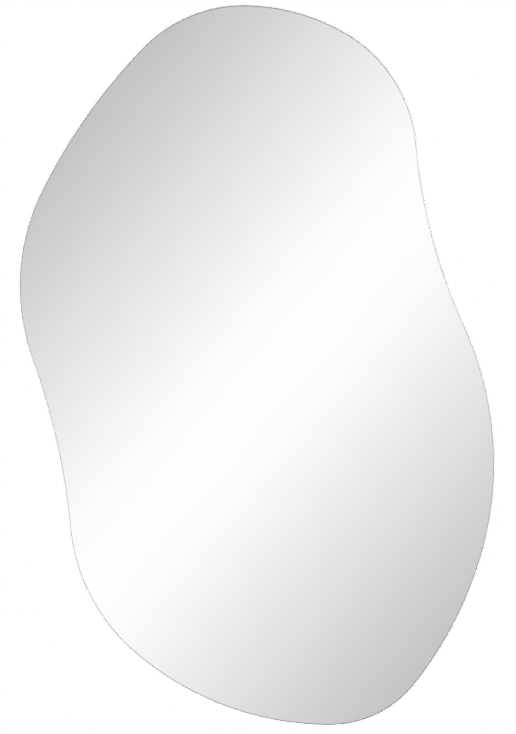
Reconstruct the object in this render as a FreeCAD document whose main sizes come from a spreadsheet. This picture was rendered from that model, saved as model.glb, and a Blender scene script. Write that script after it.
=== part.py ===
"""Irregular frameless wall mirror, in millimetres.

The mirror hangs upright: +Z is up, the glass faces -Y, and the wall is the plane Y = 0. The origin
is the point on the wall midway between the two hooks that the upper rings hang on.

The outline is a closed chain of tangent arcs, six lobes joined by six blends. The glass, the film
and the backer board all use it: an inset outline keeps every centre and only changes the radii.
"""
import FreeCAD, Part
import math
import os
import Sketcher

# Lobe centres are measured from the middle of the glass, x to the right and z up as seen from the
# front. A blend is named for the two lobes that it joins, running anticlockwise.
OUTLINE_SIZES = {
    "top_x": -16,
    "top_z": 278,
    "top_radius": 179,
    "left_x": -28,
    "left_z": 100,
    "left_radius": 273,
    "heel_x": 0,
    "heel_z": -184,
    "heel_radius": 238,
    "foot_x": 93,
    "foot_z": -319,
    "foot_radius": 138,
    "right_x": -118,
    "right_z": -125,
    "right_radius": 420,
    "shoulder_x": 20,
    "shoulder_z": 263,
    "shoulder_radius": 184,
    "top_left_blend": 720,
    "left_heel_blend": 866,
    "heel_foot_blend": 379,
    "foot_right_blend": 483,
    "right_shoulder_blend": 703,
    "shoulder_top_blend": 266,
}

PANEL_SIZES = {
    "hooks_x": 4,              # hooks' midpoint from the middle of the glass, over its balance point
    "hooks_z": 246,
    "glass_thickness": 5,
    "arris_radius": 1.5,       # polished round on the front edge
    "seam_width": 0.5,         # small ground bevel on the back edge
    "film_thickness": 0.2,
    "film_inset": 2,
    "bond_thickness": 1.1,     # foam tape and adhesive, pressed to the same thickness
    "board_thickness": 9,
    "board_inset": 25,
    "tape_width": 19,
    "tape_spacing": 85,
    "dab_radius": 22,
    "dab_row_spacing": 120,
    "dab_row_offset": -10,
}

HARDWARE_SIZES = {
    "upper_hanger_x": 150,     # each upper hanger, from the hooks' midpoint
    "side_hanger_x": -185,     # side hangers' bars, from the middle of the glass
    "side_middle_z": -8,       # halfway between the side hangers, from the middle of the glass
    "side_hanger_z": 150,      # each side hanger, above or below that
    "strap_width": 16,
    "strap_length": 50,        # from the ring's bar to the far end
    "strap_thickness": 1,
    "strap_bend_radius": 1.5,  # top face, where the upper leg comes down on the lower one
    "strap_bend_angle": 60,    # slope of the falling stretch, in degrees
    "strap_end_radius": 5,
    "strap_hole_radius": 2.3,
    "first_screw": 27,         # from the ring's bar, along the strap
    "second_screw": 42,
    "wire_radius": 1.5,
    "wire_clearance": 0.2,     # between the ring's bar and the strap's loop
    "ring_half_width": 13,     # to the middle of the wire
    "ring_corner_radius": 4,
    "ring_lean": 3,            # degrees that the ring leans towards the board
    "screw_shank_radius": 2,
    "screw_length": 9.5,
    "screw_head_radius": 4,
    "screw_head_height": 2.4,
    "screw_dome_radius": 7,
    "recess_length": 4.6,
    "recess_width": 1,
    "recess_depth": 1.4,
    "bumper_radius": 10,
    "bumper_tip_radius": 9,
    "bumper_height": 8,
    "bumper_rim_radius": 1,
}

# Anticlockwise from the top, as seen from the front: each lobe, the blend that follows it, and
# whether that blend bulges outwards (+1) or is one of the two waists (-1).
LOBES = [
    ("top", "top_left_blend", +1),
    ("left", "left_heel_blend", -1),
    ("heel", "heel_foot_blend", +1),
    ("foot", "foot_right_blend", +1),
    ("right", "right_shoulder_blend", -1),
    ("shoulder", "shoulder_top_blend", +1),
]

# Each tape strip: its column, counted in tape spacings from the middle, and the heights of its ends.
TAPE_STRIPS = [
    (-2, -280, 300),
    (-1, -360, 390),
    (0, -400, 410),
    (1, -405, 385),
    (2, -370, 240),
]

# Adhesive dabs sit in columns halfway between the strips: each column, its lowest and highest row.
DAB_COLUMNS = [
    (-1.5, -2, 2),
    (-0.5, -3, 3),
    (0.5, -3, 3),
    (1.5, -3, 2),
]

# Bumper places, measured from the middle of the glass.
BUMPER_PLACES = {
    "upper_left": (-110, 360),
    "upper_right": (95, 360),
    "lower_left": (-140, -300),
    "lower_right": (190, -325),
}

# Depths behind the glass, from the wall forwards.
BOARD_BACK = "-Sizes.bumper_height"
BOARD_FRONT = BOARD_BACK + " - Sizes.board_thickness"
FILM_BACK = BOARD_FRONT + " - Sizes.bond_thickness"
GLASS_BACK = FILM_BACK + " - Sizes.film_thickness"

# The ring's bar lies over the strap's lower leg. A hook bears inside the top of the ring's arch.
BAR_HEIGHT = "Sizes.strap_thickness + Sizes.wire_clearance + Sizes.wire_radius"
HOOK_REACH = "Sizes.ring_corner_radius + Sizes.ring_half_width - Sizes.wire_radius"

# Degrees from one screw's recess to the next one's.
SCREW_TURN = 37

X_AXIS = FreeCAD.Vector(1, 0, 0)
Y_AXIS = FreeCAD.Vector(0, 1, 0)
Z_AXIS = FreeCAD.Vector(0, 0, 1)


# ---- Shared modelling steps ----

def make_sheet():
    """Put every driving size in the spreadsheet, one alias to a row."""
    new_sheet = doc.addObject("Spreadsheet::Sheet", "Sizes")
    sizes = {**OUTLINE_SIZES, **PANEL_SIZES, **HARDWARE_SIZES}
    for row, (alias, value) in enumerate(sizes.items(), start=1):
        new_sheet.set(f"A{row}", alias)
        new_sheet.set(f"B{row}", str(value))
        new_sheet.setAlias(f"B{row}", alias)
    doc.recompute()
    return new_sheet


def value_of(expression):
    """Work out an expression on the sheet as a number."""
    return float(sheet.evalExpression(expression))


def new_body(label, x, y, z, rotation=None):
    """A body whose place is three expressions, turned about its own origin."""
    body = doc.addObject("PartDesign::Body", label)
    body.Placement = FreeCAD.Placement(FreeCAD.Vector(), rotation or FreeCAD.Rotation())
    body.setExpression("Placement.Base.x", x)
    body.setExpression("Placement.Base.y", y)
    body.setExpression("Placement.Base.z", z)
    return body


def new_panel(label, y):
    """A body for a sheet of the mirror, with its origin behind the middle of the glass."""
    return new_body(label, "-Sizes.hooks_x", y, "-Sizes.hooks_z")


def new_sketch(body, name, plane):
    """A sketch on one of the body's own origin planes."""
    sketch = body.newObject("Sketcher::SketchObject", name)
    support = next(part for part in body.Origin.OriginFeatures if part.Role == plane)
    sketch.AttachmentSupport = [(support, "")]
    sketch.MapMode = "FlatFace"
    return sketch


def dimension(sketch, name, expression, kind, *geometry):
    """Add a named dimension that follows an expression on the sheet."""
    value = value_of(expression)
    if kind == "Angle":
        value = math.radians(value)
    index = sketch.addConstraint(Sketcher.Constraint(kind, *geometry, value))
    sketch.renameConstraint(index, name)
    sketch.setExpression("Constraints." + name, expression)


def join(sketch, kind, *geometry):
    """Add a constraint that has no size, such as Tangent or Coincident."""
    sketch.addConstraint(Sketcher.Constraint(kind, *geometry))


def add_line(sketch, start, end):
    return sketch.addGeometry(Part.LineSegment(FreeCAD.Vector(*start, 0), FreeCAD.Vector(*end, 0)))


def add_arc(sketch, centre, radius, start_angle, end_angle):
    """Anticlockwise arc, its angles in radians."""
    circle = Part.Circle(FreeCAD.Vector(*centre, 0), Z_AXIS, radius)
    return sketch.addGeometry(Part.ArcOfCircle(circle, start_angle, end_angle))


def add_circle(sketch, name, x, y, radius):
    """A circle whose centre and radius are expressions."""
    middle = FreeCAD.Vector(value_of(x), value_of(y), 0)
    circle = sketch.addGeometry(Part.Circle(middle, Z_AXIS, value_of(radius)))
    dimension(sketch, name + "_x", x, "DistanceX", -1, 1, circle, 3)
    dimension(sketch, name + "_y", y, "DistanceY", -1, 1, circle, 3)
    dimension(sketch, name + "_radius", radius, "Radius", circle)


def sketch_square_cornered(sketch, name, corners):
    """Closed outline whose sides run across and up by turns, its corners given as expressions."""
    next_corners = corners[1:] + corners[:1]
    sides = []
    for corner, next_corner in zip(corners, next_corners):
        start = (value_of(corner[0]), value_of(corner[1]))
        end = (value_of(next_corner[0]), value_of(next_corner[1]))
        sides.append(add_line(sketch, start, end))
    for side, next_side in zip(sides, sides[1:] + sides[:1]):
        join(sketch, "Coincident", side, 2, next_side, 1)
    for number, (side, corner, next_corner) in enumerate(zip(sides, corners, next_corners), start=1):
        side_name = f"{name}_side_{number}"
        if corner[0] == next_corner[0]:
            join(sketch, "Vertical", side)
            dimension(sketch, side_name, corner[0], "DistanceX", -1, 1, side, 1)
        else:
            join(sketch, "Horizontal", side)
            dimension(sketch, side_name, corner[1], "DistanceY", -1, 1, side, 1)


def new_pad(body, sketch, name, length, sides="One side"):
    pad = body.newObject("PartDesign::Pad", name)
    pad.Profile = sketch
    pad.SideType = sides
    pad.setExpression("Length", length)
    doc.recompute()
    return pad


def new_pocket(body, sketch, name, length, sides="One side", reversed_cut=False):
    """Cut a pocket, and stop if it misses the solid."""
    before = body.Shape.Volume
    pocket = body.newObject("PartDesign::Pocket", name)
    pocket.Profile = sketch
    pocket.SideType = sides
    pocket.Reversed = reversed_cut
    pocket.setExpression("Length", length)
    doc.recompute()
    if not body.Shape.Volume < before:
        raise ValueError(name + " cuts nothing")
    return pocket


def new_revolution(body, sketch, name):
    """Turn a sketch a full circle about its own vertical axis."""
    revolution = body.newObject("PartDesign::Revolution", name)
    revolution.Profile = sketch
    revolution.ReferenceAxis = (sketch, ["V_Axis"])
    revolution.Angle = 360
    doc.recompute()
    return revolution


def flat_face(feature, direction):
    """Name of the feature's flat face that looks in a direction of its own body."""
    for number, face in enumerate(feature.Shape.Faces, start=1):
        if isinstance(face.Surface, Part.Plane) and face.normalAt(0, 0).isEqual(direction, 1e-6):
            return f"Face{number}"
    raise ValueError("no such face on " + feature.Name)


# ---- The outline ----

def blend_centre(first, second, radius, bulge):
    """Centre of the arc that touches two lobes, each given as its centre and radius.

    A bulging blend holds both lobes inside it. A waist touches them from outside.
    """
    chord = second[0] - first[0]
    to_first = abs(radius - bulge * first[1])
    to_second = abs(radius - bulge * second[1])
    along = (to_first ** 2 - to_second ** 2 + chord.Length ** 2) / (2 * chord.Length)
    aside = math.sqrt(to_first ** 2 - along ** 2)
    direction = FreeCAD.Vector(chord).normalize()
    inwards = FreeCAD.Vector(-direction.y, direction.x, 0)
    return first[0] + direction * along + inwards * (bulge * aside)


def tangent_point(lobe, centre, bulge):
    """Where a lobe meets a blend with the given centre."""
    outwards = (lobe[0] - centre).normalize()
    return lobe[0] + outwards * (lobe[1] * bulge)


def draw_arc(sketch, centre, radius, start, end):
    """Anticlockwise arc about a centre, from one point to another."""
    start_angle = math.atan2(start.y - centre.y, start.x - centre.x)
    end_angle = math.atan2(end.y - centre.y, end.x - centre.x)
    if end_angle < start_angle:
        end_angle += 2 * math.pi
    return add_arc(sketch, (centre.x, centre.y), radius, start_angle, end_angle)


def sketch_outline(sketch, inset="0"):
    """Draw the pebble outline, or one inside it by an inset that is named on the sheet."""
    radius_less = " - " + inset
    radius_more = " + " + inset
    lobes = []
    for name, _, _ in LOBES:
        centre = FreeCAD.Vector(OUTLINE_SIZES[name + "_x"], OUTLINE_SIZES[name + "_z"], 0)
        lobes.append((centre, value_of("Sizes." + name + "_radius" + radius_less)))
    following = lobes[1:] + lobes[:1]

    blends = []
    for lobe, next_lobe, (_, blend, bulge) in zip(lobes, following, LOBES):
        radius = value_of("Sizes." + blend + (radius_less if bulge > 0 else radius_more))
        blends.append((blend_centre(lobe, next_lobe, radius, bulge), radius, bulge))
    preceding = blends[-1:] + blends[:-1]

    lobe_arcs = []
    blend_arcs = []
    for lobe, next_lobe, before, after in zip(lobes, following, preceding, blends):
        enter = tangent_point(lobe, before[0], before[2])
        leave = tangent_point(lobe, after[0], after[2])
        arrive = tangent_point(next_lobe, after[0], after[2])
        lobe_arcs.append(draw_arc(sketch, lobe[0], lobe[1], enter, leave))
        ends = (leave, arrive) if after[2] > 0 else (arrive, leave)
        blend_arcs.append(draw_arc(sketch, after[0], after[1], *ends))

    # Point 1 of an arc is its start, 2 its end and 3 its centre.
    next_arcs = lobe_arcs[1:] + lobe_arcs[:1]
    for lobe_arc, blend_arc, next_arc, (_, _, bulge) in zip(lobe_arcs, blend_arcs, next_arcs, LOBES):
        first_end, last_end = (1, 2) if bulge > 0 else (2, 1)
        join(sketch, "Tangent", lobe_arc, 2, blend_arc, first_end)
        join(sketch, "Tangent", blend_arc, last_end, next_arc, 1)

    for lobe_arc, blend_arc, (name, blend, bulge) in zip(lobe_arcs, blend_arcs, LOBES):
        size = "Sizes." + name
        dimension(sketch, name + "_x", size + "_x", "DistanceX", -1, 1, lobe_arc, 3)
        dimension(sketch, name + "_z", size + "_z", "DistanceY", -1, 1, lobe_arc, 3)
        dimension(sketch, name + "_radius", size + "_radius" + radius_less, "Radius", lobe_arc)
        change = radius_less if bulge > 0 else radius_more
        dimension(sketch, blend, "Sizes." + blend + change, "Radius", blend_arc)


# ---- Glass, film, bond and board ----

def make_glass():
    """Float glass: front edge polished round, back edge seamed. The sketch is its back face."""
    body = new_panel("mirror_glass", GLASS_BACK)
    sketch = new_sketch(body, "GlassOutline", "XZ_Plane")
    sketch_outline(sketch)
    pad = new_pad(body, sketch, "GlassSheet", "Sizes.glass_thickness")
    arris = body.newObject("PartDesign::Fillet", "PolishedArris")
    arris.Base = (pad, [flat_face(pad, -Y_AXIS)])
    arris.setExpression("Radius", "Sizes.arris_radius")
    doc.recompute()
    seam = body.newObject("PartDesign::Chamfer", "SeamedEdge")
    seam.Base = (arris, [flat_face(arris, Y_AXIS)])
    seam.setExpression("Size", "Sizes.seam_width")
    return body


def make_film():
    """Plastic film over the painted silvering, which holds broken glass together."""
    body = new_panel("safety_film", FILM_BACK)
    sketch = new_sketch(body, "FilmOutline", "XZ_Plane")
    sketch_outline(sketch, "Sizes.film_inset")
    new_pad(body, sketch, "FilmSheet", "Sizes.film_thickness")
    return body


def make_foam_tape():
    """Strips of double-sided foam tape between the board and the film."""
    body = new_panel("foam_tape", BOARD_FRONT)
    body.AllowCompound = True
    sketch = new_sketch(body, "TapeStrips", "XZ_Plane")
    for number, (column, low, high) in enumerate(TAPE_STRIPS, start=1):
        left = f"{column} * Sizes.tape_spacing - Sizes.tape_width / 2"
        right = f"{column} * Sizes.tape_spacing + Sizes.tape_width / 2"
        corners = [(left, str(low)), (right, str(low)), (right, str(high)), (left, str(high))]
        sketch_square_cornered(sketch, f"strip_{number}", corners)
    new_pad(body, sketch, "TapeThickness", "Sizes.bond_thickness")
    return body


def make_adhesive():
    """Round dabs of mirror adhesive, pressed flat between the board and the film."""
    body = new_panel("mirror_adhesive", BOARD_FRONT)
    body.AllowCompound = True
    sketch = new_sketch(body, "Dabs", "XZ_Plane")
    for column_number, (column, low_row, high_row) in enumerate(DAB_COLUMNS, start=1):
        x = f"{column} * Sizes.tape_spacing"
        for row in range(low_row, high_row + 1):
            z = f"{row} * Sizes.dab_row_spacing + Sizes.dab_row_offset"
            name = f"dab_{column_number}_{row - low_row + 1}"
            add_circle(sketch, name, x, z, "Sizes.dab_radius")
    new_pad(body, sketch, "DabThickness", "Sizes.bond_thickness")
    return body


def make_board():
    """Fibreboard backer with a pilot hole for each screw. The sketch is its back face."""
    body = new_panel("backer_board", BOARD_BACK)
    sketch = new_sketch(body, "BoardOutline", "XZ_Plane")
    sketch_outline(sketch, "Sizes.board_inset")
    new_pad(body, sketch, "BoardSheet", "Sizes.board_thickness")
    holes = new_sketch(body, "PilotHoles", "XZ_Plane")
    for hanger in HANGERS:
        for screw in ("first_screw", "second_screw"):
            x, z = hanger.along_strap("Sizes." + screw)
            add_circle(holes, hanger.name + "_" + screw, x + " + Sizes.hooks_x",
                       z + " + Sizes.hooks_z", "Sizes.screw_shank_radius")
    depth = "Sizes.screw_length - 2 * Sizes.strap_thickness"
    new_pocket(body, holes, "PilotHolePocket", depth, reversed_cut=True)
    return body


# ---- Hangers ----

class Hanger:
    """Where one hanger sits: the middle of its ring's bar, and the way its ring points.

    An upper hanger's ring points up, and its strap runs down. A side hanger's ring points to -X,
    and its strap runs inboard.
    """

    def __init__(self, name, x, z, upright):
        self.name = name
        self.x = x
        self.z = z
        self.turn = FreeCAD.Rotation() if upright else FreeCAD.Rotation(Y_AXIS, -90)
        self.upright = upright

    def along_strap(self, distance):
        """Expressions for the point at a distance from the bar along the strap."""
        if self.upright:
            return self.x, self.z + " - " + distance
        return self.x + " + " + distance, self.z


UPPER_BAR_Z = "-(" + HOOK_REACH + ")"
SIDE_BAR_X = "Sizes.side_hanger_x - Sizes.hooks_x"
SIDE_MIDDLE_Z = "Sizes.side_middle_z - Sizes.hooks_z"

HANGERS = [
    Hanger("upper_left", "-Sizes.upper_hanger_x", UPPER_BAR_Z, True),
    Hanger("upper_right", "Sizes.upper_hanger_x", UPPER_BAR_Z, True),
    Hanger("side_upper", SIDE_BAR_X, SIDE_MIDDLE_Z + " + Sizes.side_hanger_z", False),
    Hanger("side_lower", SIDE_BAR_X, SIDE_MIDDLE_Z + " - Sizes.side_hanger_z", False),
]


def make_strap(hanger):
    """Steel strip folded in two round the ring's bar, and both legs pierced for two screws."""
    body = new_body("hanger_strap_" + hanger.name, hanger.x, BOARD_BACK, hanger.z, hanger.turn)
    sketch = new_sketch(body, "FoldedStrip", "YZ_Plane")
    sketch_folded_strip(sketch)
    new_pad(body, sketch, "StripWidth", "Sizes.strap_width", sides="Symmetric")
    holes = new_sketch(body, "ScrewHoles", "XZ_Plane")
    for screw in ("first_screw", "second_screw"):
        add_circle(holes, screw, "0", "-Sizes." + screw, "Sizes.strap_hole_radius")
    pocket = new_pocket(body, holes, "ScrewHolePocket", "3 * Sizes.strap_thickness")
    rounding = body.newObject("PartDesign::Fillet", "RoundedEnd")
    rounding.Base = (pocket, end_corners(pocket))
    rounding.setExpression("Radius", "Sizes.strap_end_radius")
    return body


def sketch_folded_strip(sketch):
    """Section of the folded strip, seen along the bar: height across, distance beyond the bar up.

    The legs lie pressed together, so they are one section, with a tear-shaped eye for the bar.
    """
    thickness = value_of("Sizes.strap_thickness")
    far_end = -value_of("Sizes.strap_length")
    outer = value_of(BAR_HEIGHT)
    eye = outer - thickness
    bend = value_of("Sizes.strap_bend_radius")
    slope = math.radians(value_of("Sizes.strap_bend_angle"))
    top = 2 * thickness

    def on_loop(radius):
        """Where the sheet leaves its loop round the bar and starts to fall."""
        return (outer + radius * math.cos(slope), -radius * math.sin(slope))

    loop_end = on_loop(outer)
    fall = loop_end[0] - top - bend * (1 - math.cos(slope))
    bend_start = (loop_end[0] - fall, loop_end[1] - fall / math.tan(slope))
    bend_end = (top, bend_start[1] - bend * math.sin(slope))
    eye_end = on_loop(eye)
    eye_corner = (thickness, eye_end[1] - (eye_end[0] - thickness) / math.tan(slope))

    underside = add_line(sketch, (0, far_end), (0, 0))
    loop = add_arc(sketch, (outer, 0), outer, -slope, math.pi)
    falling = add_line(sketch, bend_start, loop_end)
    foot_bend = add_arc(sketch, (top + bend, bend_end[1]), bend, math.pi - slope, math.pi)
    upper_face = add_line(sketch, bend_end, (top, far_end))
    end_face = add_line(sketch, (top, far_end), (0, far_end))
    join(sketch, "Coincident", underside, 2, -1, 1)
    join(sketch, "Vertical", underside)
    join(sketch, "Tangent", loop, 2, underside, 2)
    join(sketch, "Tangent", falling, 2, loop, 1)
    join(sketch, "Tangent", foot_bend, 1, falling, 1)
    join(sketch, "Tangent", upper_face, 1, foot_bend, 2)
    join(sketch, "Vertical", upper_face)
    join(sketch, "Coincident", upper_face, 2, end_face, 1)
    join(sketch, "Coincident", end_face, 2, underside, 1)
    join(sketch, "Horizontal", end_face)
    dimension(sketch, "far_end", "-Sizes.strap_length", "DistanceY", -1, 1, underside, 1)
    dimension(sketch, "loop_radius", BAR_HEIGHT, "Radius", loop)
    dimension(sketch, "lean", "90 - Sizes.strap_bend_angle", "Angle", falling)
    dimension(sketch, "bend_radius", "Sizes.strap_bend_radius", "Radius", foot_bend)
    dimension(sketch, "two_sheets", "2 * Sizes.strap_thickness", "DistanceX", -1, 1, upper_face, 1)

    eye_arc = add_arc(sketch, (outer, 0), eye, -slope, math.pi)
    eye_slope = add_line(sketch, eye_corner, eye_end)
    eye_floor = add_line(sketch, (thickness, 0), eye_corner)
    join(sketch, "Coincident", eye_arc, 3, loop, 3)
    join(sketch, "Tangent", eye_arc, 2, eye_floor, 1)
    join(sketch, "Vertical", eye_floor)
    join(sketch, "Tangent", eye_arc, 1, eye_slope, 2)
    join(sketch, "Parallel", eye_slope, falling)
    join(sketch, "Coincident", eye_floor, 2, eye_slope, 1)
    dimension(sketch, "eye_radius", "Sizes.wire_radius + Sizes.wire_clearance", "Radius", eye_arc)


def end_corners(feature):
    """The two edges that stand on the board at the strap's far corners."""
    far_end = -value_of("Sizes.strap_length")
    names = []
    for number, edge in enumerate(feature.Shape.Edges, start=1):
        middle = edge.CenterOfMass
        direction = edge.tangentAt(edge.FirstParameter)
        if abs(middle.z - far_end) < 1e-6 and abs(direction.dot(Y_AXIS)) > 0.99:
            names.append(f"Edge{number}")
    return names


def make_ring(hanger):
    """D of round wire. Its origin is the middle of its bar, which the strap's loop holds."""
    lean = FreeCAD.Rotation(X_AXIS, value_of("Sizes.ring_lean"))
    y = BOARD_BACK + " + " + BAR_HEIGHT
    body = new_body("hanger_ring_" + hanger.name, hanger.x, y, hanger.z, hanger.turn.multiply(lean))
    path = new_sketch(body, "WirePath", "XZ_Plane")
    sketch_ring_path(path)
    section = new_sketch(body, "WireSection", "YZ_Plane")
    add_circle(section, "wire", "0", "0", "Sizes.wire_radius")
    doc.recompute()
    pipe = body.newObject("PartDesign::AdditivePipe", "BentWire")
    pipe.Profile = section
    pipe.Spine = path
    return body


def sketch_ring_path(sketch):
    """Middle of the wire: half the bar, a corner, the round arch, a corner and the other half."""
    arch_radius = value_of("Sizes.ring_half_width")
    corner_radius = value_of("Sizes.ring_corner_radius")
    bar_end = arch_radius - corner_radius
    right_bar = add_line(sketch, (0, 0), (bar_end, 0))
    right_corner = add_arc(sketch, (bar_end, corner_radius), corner_radius, -math.pi / 2, 0)
    arch = add_arc(sketch, (0, corner_radius), arch_radius, 0, math.pi)
    left_corner = add_arc(sketch, (-bar_end, corner_radius), corner_radius, math.pi, math.pi * 1.5)
    left_bar = add_line(sketch, (-bar_end, 0), (0, 0))
    join(sketch, "Coincident", right_bar, 1, -1, 1)
    join(sketch, "Horizontal", right_bar)
    join(sketch, "Tangent", right_bar, 2, right_corner, 1)
    join(sketch, "Tangent", right_corner, 2, arch, 1)
    join(sketch, "Tangent", arch, 2, left_corner, 1)
    join(sketch, "Tangent", left_corner, 2, left_bar, 1)
    join(sketch, "Coincident", left_bar, 2, -1, 1)
    join(sketch, "Horizontal", left_bar)
    join(sketch, "PointOnObject", arch, 3, -2)
    dimension(sketch, "arch_height", "Sizes.ring_corner_radius", "DistanceY", -1, 1, arch, 3)
    dimension(sketch, "arch_radius", "Sizes.ring_half_width", "Radius", arch)
    dimension(sketch, "right_corner", "Sizes.ring_corner_radius", "Radius", right_corner)
    dimension(sketch, "left_corner", "Sizes.ring_corner_radius", "Radius", left_corner)


# ---- Screws and bumpers ----

def make_screw():
    """Pan head screw with a cross recess. Its origin is under the head, and its tip is at -Y.

    The shank is a plain pin, as thick as the thread, and fills its pilot hole.
    """
    body = new_body("pan_head_screw", "0", "0", "0")
    sketch = new_sketch(body, "ScrewSection", "XY_Plane")
    sketch_screw(sketch)
    new_revolution(body, sketch, "TurnedScrew")
    cross = new_sketch(body, "Recess", "XZ_Plane")
    cross.setExpression("AttachmentOffset.Base.z", "-Sizes.screw_head_height")
    reach = "Sizes.recess_length / 2"
    side = "Sizes.recess_width / 2"
    minus_reach = "-Sizes.recess_length / 2"
    minus_side = "-Sizes.recess_width / 2"
    sketch_square_cornered(cross, "recess", [
        (reach, minus_side), (reach, side), (side, side),
        (side, reach), (minus_side, reach), (minus_side, side),
        (minus_reach, side), (minus_reach, minus_side), (minus_side, minus_side),
        (minus_side, minus_reach), (side, minus_reach), (side, minus_side),
    ])
    doc.recompute()
    new_pocket(body, cross, "CrossRecess", "Sizes.recess_depth", reversed_cut=True)
    return body


def sketch_screw(sketch):
    """Half the screw's section: radius across, height over the strap up."""
    shank = value_of("Sizes.screw_shank_radius")
    length = value_of("Sizes.screw_length")
    head = value_of("Sizes.screw_head_radius")
    height = value_of("Sizes.screw_head_height")
    dome = value_of("Sizes.screw_dome_radius")
    rim_angle = math.acos(head / dome)
    rim_height = height - dome + dome * math.sin(rim_angle)
    tip = add_line(sketch, (0, -length), (shank, -length))
    side = add_line(sketch, (shank, -length), (shank, 0))
    underside = add_line(sketch, (shank, 0), (head, 0))
    rim = add_line(sketch, (head, 0), (head, rim_height))
    top = add_arc(sketch, (0, height - dome), dome, rim_angle, math.pi / 2)
    axis = add_line(sketch, (0, height), (0, -length))
    lines = [tip, side, underside, rim]
    for line, next_line in zip(lines, lines[1:]):
        join(sketch, "Coincident", line, 2, next_line, 1)
    join(sketch, "Coincident", rim, 2, top, 1)
    join(sketch, "Coincident", top, 2, axis, 1)
    join(sketch, "Coincident", axis, 2, tip, 1)
    for line in (tip, underside):
        join(sketch, "Horizontal", line)
    for line in (side, rim, axis):
        join(sketch, "Vertical", line)
    join(sketch, "PointOnObject", top, 3, -2)
    join(sketch, "PointOnObject", underside, 1, -1)
    join(sketch, "PointOnObject", axis, 1, -2)
    dimension(sketch, "length", "-Sizes.screw_length", "DistanceY", -1, 1, tip, 1)
    dimension(sketch, "shank_radius", "Sizes.screw_shank_radius", "DistanceX", -1, 1, side, 1)
    dimension(sketch, "head_radius", "Sizes.screw_head_radius", "DistanceX", -1, 1, rim, 1)
    dimension(sketch, "head_height", "Sizes.screw_head_height", "DistanceY", -1, 1, axis, 1)
    dimension(sketch, "dome_radius", "Sizes.screw_dome_radius", "Radius", top)


def make_hanger_screws(screw_body):
    """Two screws to a strap, each stopped with its recess at another angle."""
    screws = []
    for hanger in HANGERS:
        for distance in ("first_screw", "second_screw"):
            x, z = hanger.along_strap("Sizes." + distance)
            screw = doc.addObject("App::Link", hanger.name + "_" + distance)
            screw.LinkedObject = screw_body
            stopped_at = FreeCAD.Rotation(Y_AXIS, SCREW_TURN * len(screws))
            screw.Placement = FreeCAD.Placement(FreeCAD.Vector(), stopped_at)
            screw.setExpression("Placement.Base.x", x)
            screw.setExpression("Placement.Base.y", BOARD_BACK + " + 2 * Sizes.strap_thickness")
            screw.setExpression("Placement.Base.z", z)
            screws.append(screw)
    group = doc.addObject("Part::Compound", "hanger_screws")
    group.Links = screws
    return group


def make_bumper(name, place):
    """Rubber bumper, stuck to the board. Its origin is the middle of the stuck face."""
    x, z = place
    body = new_body("bumper_" + name, f"{x} - Sizes.hooks_x", BOARD_BACK, f"{z} - Sizes.hooks_z")
    sketch = new_sketch(body, "BumperSection", "XY_Plane")
    base_radius = value_of("Sizes.bumper_radius")
    tip_radius = value_of("Sizes.bumper_tip_radius")
    height = value_of("Sizes.bumper_height")
    base = add_line(sketch, (0, 0), (base_radius, 0))
    flank = add_line(sketch, (base_radius, 0), (tip_radius, height))
    tip = add_line(sketch, (tip_radius, height), (0, height))
    axis = add_line(sketch, (0, height), (0, 0))
    sides = [base, flank, tip, axis]
    for side, next_side in zip(sides, sides[1:] + sides[:1]):
        join(sketch, "Coincident", side, 2, next_side, 1)
    join(sketch, "Coincident", base, 1, -1, 1)
    join(sketch, "Horizontal", base)
    join(sketch, "Horizontal", tip)
    join(sketch, "Vertical", axis)
    dimension(sketch, "base_radius", "Sizes.bumper_radius", "DistanceX", -1, 1, base, 2)
    dimension(sketch, "tip_radius", "Sizes.bumper_tip_radius", "DistanceX", -1, 1, tip, 1)
    dimension(sketch, "height", "Sizes.bumper_height", "DistanceY", -1, 1, tip, 1)
    turned = new_revolution(body, sketch, "TurnedBumper")
    rim = body.newObject("PartDesign::Fillet", "RoundedTip")
    rim.Base = (turned, [flat_face(turned, Y_AXIS)])
    rim.setExpression("Radius", "Sizes.bumper_rim_radius")
    return body


# ---- The whole mirror ----

def check_document():
    """Stop if any object failed to build."""
    for item in doc.Objects:
        if "Invalid" in item.State or "Error" in item.State:
            raise ValueError(item.Name + " failed to build")
        if item.TypeId == "Sketcher::SketchObject" and not item.FullyConstrained:
            raise ValueError(item.Name + " is loose")


def write_node(node):
    """Write one sub-part's solids to the file that its label names."""
    shape = node.Shape
    if shape.isNull() or not shape.isValid() or not shape.Solids:
        raise ValueError(node.Label + " has no sound solid")
    shape.exportStep("parts/" + node.Label + ".step")
    print(f"{node.Label}: {len(shape.Solids)} solid(s), {shape.Volume / 1000:.2f} cm3")


doc = FreeCAD.newDocument("WallMirror")
sheet = make_sheet()

nodes = [make_glass(), make_film(), make_foam_tape(), make_adhesive(), make_board()]
for one_hanger in HANGERS:
    nodes.append(make_strap(one_hanger))
    nodes.append(make_ring(one_hanger))
nodes.append(make_hanger_screws(make_screw()))
for bumper_name, bumper_place in BUMPER_PLACES.items():
    nodes.append(make_bumper(bumper_name, bumper_place))

doc.recompute()
check_document()
os.makedirs("parts", exist_ok=True)
for one_node in nodes:
    write_node(one_node)
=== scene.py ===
"""Looks for the irregular frameless wall mirror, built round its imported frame, in metres.

The mirror hangs upright: +Z is up, the glass faces -Y, and the wall is the plane Y = 0. Its panels
are made lying face up on a bench, x to the right and y up the mirror, and are then stood up.
"""

import bisect
import math

import bmesh
import bpy
from mathutils import Matrix, Vector


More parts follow.
